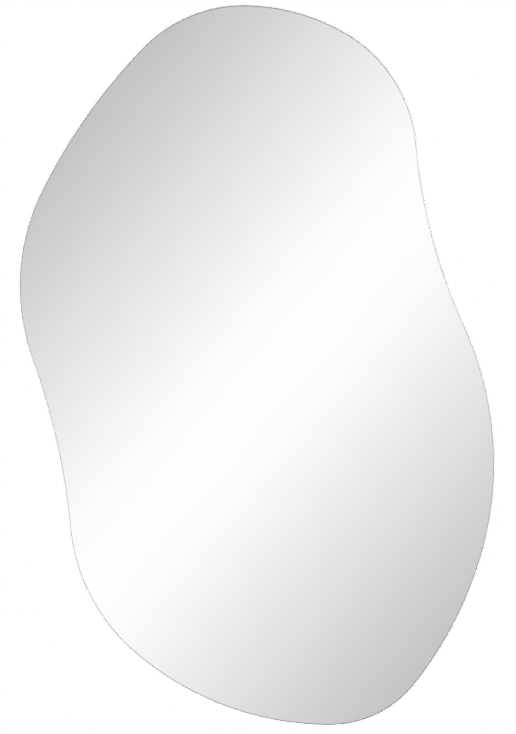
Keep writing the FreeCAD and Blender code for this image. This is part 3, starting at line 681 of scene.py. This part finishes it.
def set_out(name, part_mesh, places, turns, finish):
    """Make one piece of like parts, set out at the places."""
    part = add_object(name + "_part", part_mesh)
    piece = make_piece(name, points_mesh(name + "_places", places, turns), set_out_tree,
                       Part=part, Finish=finish)
    bpy.data.objects.remove(part)
    return piece


def make_zinc_plate(name, dull, bright, grain, roughness_range):
    """Bright zinc plate, clear passivated: silver-blue metal, softly clouded in small patches."""
    material, tree, place = new_material(name)
    CELL_SHARE = 0.35              # how much of the clouding is in hard-edged cells
    cells = add_node(tree, "ShaderNodeTexVoronoi", {"Vector": place, "Scale": 1 / grain}).outputs["Color"]
    cloud = add_node(tree, "ShaderNodeTexNoise", {"Vector": place, "Scale": 1 / (4 * grain), "Detail": 4.0})
    patch = add_node(tree, "ShaderNodeMix", {
        0: CELL_SHARE, 6: cloud, 7: cells}, data_type="RGBA").outputs[2]
    colour = add_node(tree, "ShaderNodeMix", {0: patch, 6: dull, 7: bright}, data_type="RGBA").outputs[2]
    roughness = add_node(tree, "ShaderNodeMapRange", {
        "Value": patch, "To Min": roughness_range[0], "To Max": roughness_range[1]})
    bump = add_node(tree, "ShaderNodeBump", {"Height": patch, "Strength": 0.12, "Distance": 0.1 * MM})
    surface = add_node(tree, "ShaderNodeBsdfPrincipled", {
        "Base Color": colour, "Metallic": 1.0, "Roughness": roughness, "Normal": bump})
    add_node(tree, "ShaderNodeOutputMaterial", {"Surface": surface})
    return material


set_out_tree = make_set_out_tree()
straps = set_out(
    "hanger_straps", fold_strap(), [bar_place(h) for h in HANGERS], [bar_turn(h) for h in HANGERS],
    make_zinc_plate("zinc-plated strip", "A9ADB2", "D5D8DB", 2.2 * MM, (0.26, 0.42)),
)
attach(straps, "mirror")
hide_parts(*["hanger_strap_" + h for h in HANGERS])


# ---- D-rings ----
# 3 mm steel wire bent into a flat-barred D, closed inside the strap's fold, and zinc plated. Each
# ring swings freely in its fold, from standing along the board to lying back over its own screws.

RING_HALF_WIDTH = 13 * MM      # to the middle of the wire
RING_BAR_CORNER = 4 * MM
RING_HEIGHT = RING_BAR_CORNER + RING_HALF_WIDTH
RING_LEAN = math.radians(3)    # towards the board
BEND_POINTS = 20
WIRE_POINTS = 28


def make_bent_wire_tree():
    """A wire bent round a rectangle whose top corners are so round that they meet as an arch."""
    PATH_WELD = 0.01 * MM
    WIRE_WELD = 0.001 * MM
    tree, given = new_tree(
        "bent wire ring", Width="Float", Height="Float", Arch_Radius="Float", Corner_Radius="Float",
        Wire_Radius="Float", Turn="Vector", Place="Vector", Finish="Material")
    frame_curve = add_node(
        tree, "GeometryNodeCurvePrimitiveQuadrilateral", {0: given["Width"], 1: given["Height"]})
    half_height = add_node(tree, "ShaderNodeMath", {0: given["Height"], 1: 0.5}, operation="MULTIPLY")
    lift = add_node(tree, "ShaderNodeCombineXYZ", {"Y": half_height})
    bent = add_node(tree, "GeometryNodeTransform", {"Geometry": frame_curve, "Translation": lift})
    across = add_node(tree, "ShaderNodeSeparateXYZ", {0: add_node(tree, "GeometryNodeInputPosition")})
    at_top = add_node(tree, "FunctionNodeCompare", {
        0: across.outputs["Y"], 1: half_height}, operation="GREATER_THAN")
    radius = add_node(tree, "GeometryNodeSwitch", {
        "Switch": at_top, "False": given["Corner Radius"], "True": given["Arch Radius"],
    }, input_type="FLOAT")
    bent = add_node(tree, "GeometryNodeFilletCurve", {
        "Curve": bent, "Radius": radius, "Count": BEND_POINTS, "Limit Radius": True,
    }, mode="POLY")
    path = add_node(tree, "GeometryNodeCurveToMesh", {"Curve": bent})
    path = add_node(tree, "GeometryNodeMergeByDistance", {"Geometry": path, "Distance": PATH_WELD})
    bent = add_node(tree, "GeometryNodeMeshToCurve", {"Mesh": path})
    wire = add_node(tree, "GeometryNodeCurvePrimitiveCircle", {
        "Resolution": WIRE_POINTS, "Radius": given["Wire Radius"]}, mode="RADIUS")
    solid = add_node(tree, "GeometryNodeCurveToMesh", {"Curve": bent, "Profile Curve": wire})
    solid = add_node(tree, "GeometryNodeMergeByDistance", {"Geometry": solid, "Distance": WIRE_WELD})
    solid = add_node(tree, "GeometryNodeSetShadeSmooth", {"Geometry": solid, "Shade Smooth": True})
    solid = add_node(tree, "GeometryNodeTransform", {
        "Geometry": solid, "Translation": given["Place"], "Rotation": given["Turn"]})
    solid = add_node(tree, "GeometryNodeRealizeInstances", {"Geometry": solid})
    solid = add_node(tree, "GeometryNodeSetMaterial", {"Geometry": solid, "Material": given["Finish"]})
    add_node(tree, "NodeGroupOutput", {"Geometry": solid})
    return tree


bent_wire_tree = make_bent_wire_tree()
plated_wire = make_zinc_plate("zinc-plated wire", "B3B7BB", "DDE0E2", 1.6 * MM, (0.18, 0.32))
for hanger in HANGERS:
    ring = make_piece(
        "ring_" + hanger, bpy.data.meshes.new("ring_start"), bent_wire_tree,
        Width=2 * RING_HALF_WIDTH, Height=RING_HEIGHT, Arch_Radius=RING_HALF_WIDTH,
        Corner_Radius=RING_BAR_CORNER, Wire_Radius=WIRE_RADIUS,
        Turn=Vector((math.pi / 2 + RING_LEAN, *bar_turn(hanger)[1:])), Place=bar_place(hanger),
        Finish=plated_wire,
    )
    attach(ring, hanger + "_ring")
    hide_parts("hanger_ring_" + hanger)


# ---- Screws ----
# Eight zinc-plated pan head wood screws with a cross recess, driven through both legs of the straps
# into the board. Each has stopped with its recess at another angle.

SCREW_SHANK_RADIUS = 2 * MM
SCREW_LENGTH = 9.5 * MM        # under the head
SCREW_POINT_LENGTH = 3 * MM
SCREW_TIP = (0.5 * MM, 0.4 * MM)      # radius and height of the blunt tip
SCREW_HEAD_RADIUS = 4 * MM
SCREW_HEAD_HEIGHT = 2.4 * MM
SCREW_DOME_RADIUS = 7 * MM
SCREW_RIM_ROUND = 0.25 * MM
SCREW_TURN = math.radians(37)  # from each recess to the next
RECESS_LENGTH = 4.6 * MM
RECESS_WIDTH = 1 * MM
RECESS_DEPTH = 1.4 * MM
RECESS_TAPER = 0.62            # the recess's floor against its mouth
HARD_EDGE = math.radians(35)


def turn_on_lathe(name, profile, segments):
    """Turn a profile of (radius, height) points about the Y axis, from one pole to the other."""
    POLE_WELD = 0.001 * MM
    work = bmesh.new()
    verts = [work.verts.new((radius, height, 0)) for radius, height in profile]
    edges = [work.edges.new(pair) for pair in zip(verts, verts[1:])]
    bmesh.ops.spin(work, geom=verts + edges, cent=(0, 0, 0), axis=(0, 1, 0), angle=math.tau,
                   steps=segments, use_merge=True)
    bmesh.ops.remove_doubles(work, verts=work.verts, dist=POLE_WELD)
    bmesh.ops.recalc_face_normals(work, faces=work.faces)
    return keep_mesh(name, work, HARD_EDGE)


def turn_screw():
    """Shank, flat underside, rounded rim and domed top, centred on the head's underside."""
    RIM_STEPS = 4
    DOME_STEPS = 16
    dome_centre = SCREW_HEAD_HEIGHT - SCREW_DOME_RADIUS
    rim_top = dome_centre + math.sqrt(SCREW_DOME_RADIUS ** 2 - SCREW_HEAD_RADIUS ** 2)
    profile = [
        (0, -SCREW_LENGTH),
        (SCREW_TIP[0], SCREW_TIP[1] - SCREW_LENGTH),
        (SCREW_SHANK_RADIUS, SCREW_POINT_LENGTH - SCREW_LENGTH),
        (SCREW_SHANK_RADIUS, 0),
        (SCREW_HEAD_RADIUS - SCREW_RIM_ROUND, 0),
    ]
    for step in range(1, RIM_STEPS + 1):
        angle = math.pi / 2 * step / RIM_STEPS
        profile.append((SCREW_HEAD_RADIUS - SCREW_RIM_ROUND * (1 - math.sin(angle)),
                        SCREW_RIM_ROUND * (1 - math.cos(angle))))
    profile.append((SCREW_HEAD_RADIUS, rim_top - SCREW_RIM_ROUND))
    for step in range(DOME_STEPS + 1):
        radius = (SCREW_HEAD_RADIUS - SCREW_RIM_ROUND / 2) * (1 - step / DOME_STEPS)
        profile.append((radius, dome_centre + math.sqrt(SCREW_DOME_RADIUS ** 2 - radius ** 2)))
    return turn_on_lathe("turned_screw", profile, segments=40)


def recess_punch():
    """The tapered cross that presses the recess."""
    half_length, half_width = RECESS_LENGTH / 2, RECESS_WIDTH / 2
    cross = []
    for quarter in range(4):
        for x, z in ((half_length, -half_width), (half_length, half_width), (half_width, half_width)):
            for _ in range(quarter):
                x, z = -z, x
            cross.append((x, z))
    punch = bmesh.new()
    ends = []
    floor = SCREW_HEAD_HEIGHT - RECESS_DEPTH
    above_the_dome = SCREW_HEAD_HEIGHT + 1 * MM
    for height, size in ((floor, RECESS_TAPER), (above_the_dome, 1.0)):
        ends.append([punch.verts.new((x * size, height, z * size)) for x, z in cross])
    for index in range(len(cross)):
        following = (index + 1) % len(cross)
        punch.faces.new((ends[0][index], ends[0][following], ends[1][following], ends[1][index]))
    punch.faces.new(ends[0])
    punch.faces.new(ends[1])
    bmesh.ops.recalc_face_normals(punch, faces=punch.faces)
    return keep_mesh("recess_punch", punch)


def make_punch_tree():
    """Cut the shape of another object out of the starting mesh."""
    tree, given = new_tree("punch out", Punch="Object")
    punch = add_node(tree, "GeometryNodeObjectInfo", {"Object": given["Punch"]}).outputs["Geometry"]
    cut = add_node(tree, "GeometryNodeMeshBoolean", {
        "Mesh 1": given["Geometry"], "Mesh 2": punch}, operation="DIFFERENCE", solver="EXACT")
    add_node(tree, "NodeGroupOutput", {"Geometry": cut})
    return tree


punch = add_object("recess_punch", recess_punch())
punched = make_piece("punched_screw", turn_screw(), make_punch_tree(), Punch=punch)
screw_mesh = punched.data
screw_mesh.set_sharp_from_angle(angle=HARD_EDGE)
bpy.data.objects.remove(punched)
bpy.data.objects.remove(punch)

screw_places = []
for hanger in HANGERS:
    for distance in SCREW_PLACES:
        down = Vector((0, STRAP_TOP - BAR_HEIGHT, -distance))
        down.rotate(Matrix.Rotation(bar_turn(hanger)[1], 3, "Y"))
        screw_places.append(bar_place(hanger) + down)
screws = set_out(
    "hanger_screws_driven", screw_mesh, screw_places,
    [(0, SCREW_TURN * index, 0) for index in range(len(screw_places))],
    make_zinc_plate("zinc-plated screw steel", "9FA3A8", "CDD0D3", 0.9 * MM, (0.22, 0.38)),
)
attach(screws, "mirror")
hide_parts("hanger_screws")


# ---- Wall bumpers ----
# Four moulded rubber feet, stuck to the board. They stand the mirror off the wall, so that air
# passes behind it and the rings have room.

BUMPER_RADIUS = 10 * MM
BUMPER_TIP_RADIUS = 9 * MM
BUMPER_HEIGHT = 8 * MM
BUMPER_RIM_ROUND = 1 * MM
BUMPER_FOOT = (0.3 * MM, 0.05 * MM)   # width and height of the bevel round the stuck face
BUMPER_GATE = (1.4 * MM, 0.3 * MM)    # radius and depth of the gate mark
BUMPER_GATE_SLOPE = (0.2 * MM, 0.25 * MM)

# The groove over the flange: heights up the flank and depths, in millimetres.
BUMPER_GROOVE = [(0.9, 0), (1.1, 0.21), (1.5, 0.35), (1.9, 0.21), (2.1, 0)]

# x and z of each bumper, in millimetres.
BUMPER_PLACES = [(-114, 114), (91, 114), (-144, -546), (186, -571)]


def turn_bumper():
    """Tapered foot with a thin flange, a rounded rim and the mould's gate mark in its tip."""
    RIM_STEPS = 6
    profile = [(0, 0), (BUMPER_RADIUS - BUMPER_FOOT[0], 0), (BUMPER_RADIUS, BUMPER_FOOT[1])]

    def flank(height):
        return BUMPER_RADIUS + (BUMPER_TIP_RADIUS - BUMPER_RADIUS) * height / BUMPER_HEIGHT

    for height, depth in BUMPER_GROOVE:
        profile.append((flank(height * MM) - depth * MM, height * MM))
    for step in range(RIM_STEPS + 1):
        angle = math.pi / 2 * step / RIM_STEPS
        profile.append((BUMPER_TIP_RADIUS - BUMPER_RIM_ROUND * (1 - math.cos(angle)),
                        BUMPER_HEIGHT - BUMPER_RIM_ROUND * (1 - math.sin(angle))))
    gate_radius, gate_depth = BUMPER_GATE
    slope_width, slope_depth = BUMPER_GATE_SLOPE
    profile += [
        (gate_radius + slope_width, BUMPER_HEIGHT),
        (gate_radius, BUMPER_HEIGHT - slope_depth),
        (0, BUMPER_HEIGHT - gate_depth),
    ]
    return turn_on_lathe("turned_bumper", profile, segments=56)


def make_moulded_rubber():
    """Moulded black rubber: a soft dark sheen, finely matt, with a little grey bloom."""
    material, tree, place = new_material("moulded rubber")
    GRAIN_WIDTH = 0.5 * MM         # a moulded grain is finer than this, and wouldn't show
    BLOOM_WIDTH = 6 * MM
    grain = add_node(tree, "ShaderNodeTexNoise", {"Vector": place, "Scale": 1 / GRAIN_WIDTH, "Detail": 2.0})
    bloom = add_node(tree, "ShaderNodeTexNoise", {"Vector": place, "Scale": 1 / BLOOM_WIDTH, "Detail": 4.0})
    colour = add_node(tree, "ShaderNodeMix", {
        0: bloom, 6: "1B1B1C", 7: "3A3A3B"}, data_type="RGBA").outputs[2]
    roughness = add_node(tree, "ShaderNodeMapRange", {"Value": bloom, "To Min": 0.5, "To Max": 0.75})
    bump = add_node(tree, "ShaderNodeBump", {"Height": grain, "Strength": 0.25, "Distance": 0.1 * MM})
    surface = add_node(tree, "ShaderNodeBsdfPrincipled", {
        "Base Color": colour, "Roughness": roughness, "Normal": bump})
    add_node(tree, "ShaderNodeOutputMaterial", {"Surface": surface})
    return material


bumpers = set_out(
    "wall_bumpers", turn_bumper(), [(x * MM, board_back, z * MM) for x, z in BUMPER_PLACES],
    [(0, 0, 0)] * len(BUMPER_PLACES), make_moulded_rubber(),
)
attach(bumpers, "mirror")
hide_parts(*["bumper_" + corner for corner in (
    "upper_left", "upper_right", "lower_left", "lower_right")])


# ---- Studio ----
# A pale floor, soft lamps, and a lit card behind the camera whose tone the mirror shows. The card
# is white along a diagonal and falls off to grey on both sides.

PHOTO_WIDTH = 516
PHOTO_HEIGHT = 734
MIRROR_PIXELS_HIGH = 721.8
MIRROR_MIDDLE_PIXEL = (256.97, 365.10)
CAMERA_DISTANCE = 3.0
SENSOR_HEIGHT = 24.0           # in millimetres, as Blender has it

# One pixel of the photograph, at the mirror.
pixel = (glass_high.z - glass_low.z) / MIRROR_PIXELS_HIGH
aim = Vector((
    (glass_low.x + glass_high.x) / 2 + (PHOTO_WIDTH / 2 - MIRROR_MIDDLE_PIXEL[0]) * pixel,
    glass_low.y,
    (glass_low.z + glass_high.z) / 2 - (PHOTO_HEIGHT / 2 - MIRROR_MIDDLE_PIXEL[1]) * pixel,
))
camera_data = bpy.data.cameras.new("studio camera")
camera_data.sensor_fit = "VERTICAL"
camera_data.sensor_height = SENSOR_HEIGHT
camera_data.lens = SENSOR_HEIGHT * CAMERA_DISTANCE / (PHOTO_HEIGHT * pixel)
camera = add_object("studio camera", camera_data)
camera.location = aim + Vector((0, -CAMERA_DISTANCE, 0))
camera.rotation_euler = (math.pi / 2, 0, 0)
bpy.context.scene.camera = camera

FLOOR_DROP = 0.9               # from the mirror's lowest point
FLOOR_Z = glass_low.z - FLOOR_DROP
FLOOR_RADIUS = 2.6
FLOOR_FADE = (0.35, 0.98)      # where the floor starts and ends its fade to white, in radii


def make_floor():
    """Pale seamless floor under the mirror, which fades into the white background."""
    disc = bmesh.new()
    bmesh.ops.create_circle(disc, cap_ends=True, segments=96, radius=FLOOR_RADIUS)
    bmesh.ops.translate(disc, verts=disc.verts, vec=(0, 0, FLOOR_Z))
    mesh = keep_mesh("studio_floor", disc)
    material, tree, place = new_material("seamless paper floor")
    across = add_node(tree, "ShaderNodeVectorMath", {0: place, 1: (1, 1, 0)}, operation="MULTIPLY")
    distance = add_node(tree, "ShaderNodeVectorMath", {0: across}, operation="LENGTH")
    fade = add_node(tree, "ShaderNodeMapRange", {
        "Value": distance.outputs["Value"],
        "From Min": FLOOR_FADE[0] * FLOOR_RADIUS,
        "From Max": FLOOR_FADE[1] * FLOOR_RADIUS,
    }, interpolation_type="SMOOTHSTEP")
    paper = add_node(tree, "ShaderNodeBsdfDiffuse", {"Color": "F0F0EE"})
    white = add_node(tree, "ShaderNodeEmission", {"Color": (1, 1, 1, 1), "Strength": 1.0})
    mixed = add_node(tree, "ShaderNodeMixShader", {0: fade, 1: paper, 2: white})
    add_node(tree, "ShaderNodeOutputMaterial", {"Surface": mixed})
    mesh.materials.append(material)
    add_object("studio_floor", mesh)


CARD_DISTANCE = 4.5            # from the glass, so behind the camera
CARD_HALF_SIZE = 4.0
CARD_RIDGE_ANGLE = math.radians(41)   # from the horizontal to the line square to the white ridge
CARD_RIDGE_SHIFT = 17          # pixels from the picture's middle to the ridge
CARD_FALL_PIXELS = 300         # pixels from the ridge to the grey at the mirror's far edges
CARD_REACH = 3                 # falls from the ridge to the end of the tones
CARD_STRENGTH = 1.083          # makes up for what the silver and the glass take

# Tones of the card, from its ridge outwards.
CARD_TONES = [(0.0, "FFFDFE"), (0.06, "FAF9F9"), (1 / CARD_REACH, "C3C4C6"), (1.0, "9DA1A4")]


def set_tones(ramp, tones):
    """Give a colour ramp its tones, each one a position and an sRGB hex colour."""
    while len(ramp.elements) < len(tones):
        ramp.elements.new(0.5)
    for element, (position, colour) in zip(ramp.elements, tones):
        element.position = position
        element.color = linear(colour)


def make_card():
    """Lit card that only the mirror and other shiny surfaces see."""
    spread = 1 + CARD_DISTANCE / CAMERA_DISTANCE    # what one pixel at the mirror spans on the card
    mesh = bpy.data.meshes.new("gradient_card")
    half = CARD_HALF_SIZE
    y = glass_low.y - CARD_DISTANCE
    corners = [(-half, y, -half), (half, y, -half), (half, y, half), (-half, y, half)]
    mesh.from_pydata([Vector(c) + Vector((aim.x, 0, aim.z)) for c in corners], [], [(3, 2, 1, 0)])
    material, tree, place = new_material("lit gradient card")
    local = add_node(tree, "ShaderNodeVectorMath", {0: place, 1: (aim.x, y, aim.z)}, operation="SUBTRACT")
    square_to_ridge = (math.cos(CARD_RIDGE_ANGLE), 0, -math.sin(CARD_RIDGE_ANGLE))
    across = add_node(tree, "ShaderNodeVectorMath", {0: local, 1: square_to_ridge}, operation="DOT_PRODUCT")
    shifted = add_node(
        tree, "ShaderNodeMath", {0: across.outputs["Value"], 1: CARD_RIDGE_SHIFT * pixel * spread},
        operation="SUBTRACT")
    away = add_node(tree, "ShaderNodeMath", {0: shifted}, operation="ABSOLUTE")
    fall = add_node(tree, "ShaderNodeMapRange", {
        "Value": away,
        "From Min": 0.0,
        "From Max": CARD_REACH * CARD_FALL_PIXELS * pixel * spread,
    })
    tones = add_node(tree, "ShaderNodeValToRGB", {0: fall})
    set_tones(tones.color_ramp, CARD_TONES)
    glow = add_node(tree, "ShaderNodeEmission", {"Color": tones, "Strength": CARD_STRENGTH})
    add_node(tree, "ShaderNodeOutputMaterial", {"Surface": glow})
    mesh.materials.append(material)
    card = add_object("gradient_card", mesh)
    card.visible_camera = False
    card.visible_diffuse = False
    card.visible_shadow = False


def make_lamp(name, place, size, power):
    """Square soft box aimed at the middle of the mirror, unseen in reflections."""
    lamp_data = bpy.data.lights.new(name, "AREA")
    lamp_data.size = size
    lamp_data.energy = power
    lamp = add_object(name, lamp_data)
    lamp.location = aim + Vector(place)
    lamp.rotation_euler = Vector(place).to_track_quat("Z", "Y").to_euler()
    lamp.visible_glossy = False
    lamp.visible_transmission = False


# Tones of the room that other reflections show, from straight down to straight up.
ROOM_TONES = [(0.0, "A9A9A8"), (0.40, "7E8184"), (0.52, "DADCDE"), (0.75, "FAFBFC"), (1.0, "FFFFFF")]


def make_world():
    """White behind the mirror, a pale room in other reflections, and plain soft light on the rest."""
    world = bpy.data.worlds.new("white studio")
    world.use_nodes = True
    bpy.context.scene.world = world
    tree = world.node_tree
    tree.nodes.clear()
    rays = add_node(tree, "ShaderNodeLightPath").outputs
    soft = add_node(tree, "ShaderNodeBackground", {"Color": "F4F6F8", "Strength": 0.55})
    seen = add_node(tree, "ShaderNodeBackground", {"Color": (1, 1, 1, 1), "Strength": 1.0})
    ray = add_node(tree, "ShaderNodeTexCoord").outputs["Generated"]
    height = add_node(tree, "ShaderNodeSeparateXYZ", {0: ray}).outputs["Z"]
    climb = add_node(tree, "ShaderNodeMapRange", {"Value": height, "From Min": -1.0, "From Max": 1.0})
    room = add_node(tree, "ShaderNodeValToRGB", {0: climb})
    set_tones(room.color_ramp, ROOM_TONES)
    mirrored = add_node(tree, "ShaderNodeBackground", {"Color": room, "Strength": 1.0})
    shiny = add_node(tree, "ShaderNodeMath", {
        0: rays["Is Glossy Ray"], 1: rays["Is Transmission Ray"]}, operation="MAXIMUM")
    unseen = add_node(tree, "ShaderNodeMixShader", {0: shiny, 1: soft, 2: mirrored})
    whole = add_node(tree, "ShaderNodeMixShader", {0: rays["Is Camera Ray"], 1: unseen, 2: seen})
    add_node(tree, "ShaderNodeOutputWorld", {"Surface": whole})


make_floor()
make_card()
make_lamp("key soft box", (-2.2, -2.6, 2.0), 1.6, 70)
make_lamp("fill soft box", (2.6, -1.6, 0.8), 1.6, 22)
make_lamp("low soft box", (0.2, -2.0, -0.8), 0.9, 25)
make_lamp("back soft box", (1.6, 2.8, 1.8), 1.6, 60)
make_lamp("back fill soft box", (-2.4, 2.2, 0.2), 1.6, 30)
make_world()

bpy.context.scene.view_settings.view_transform = "Standard"
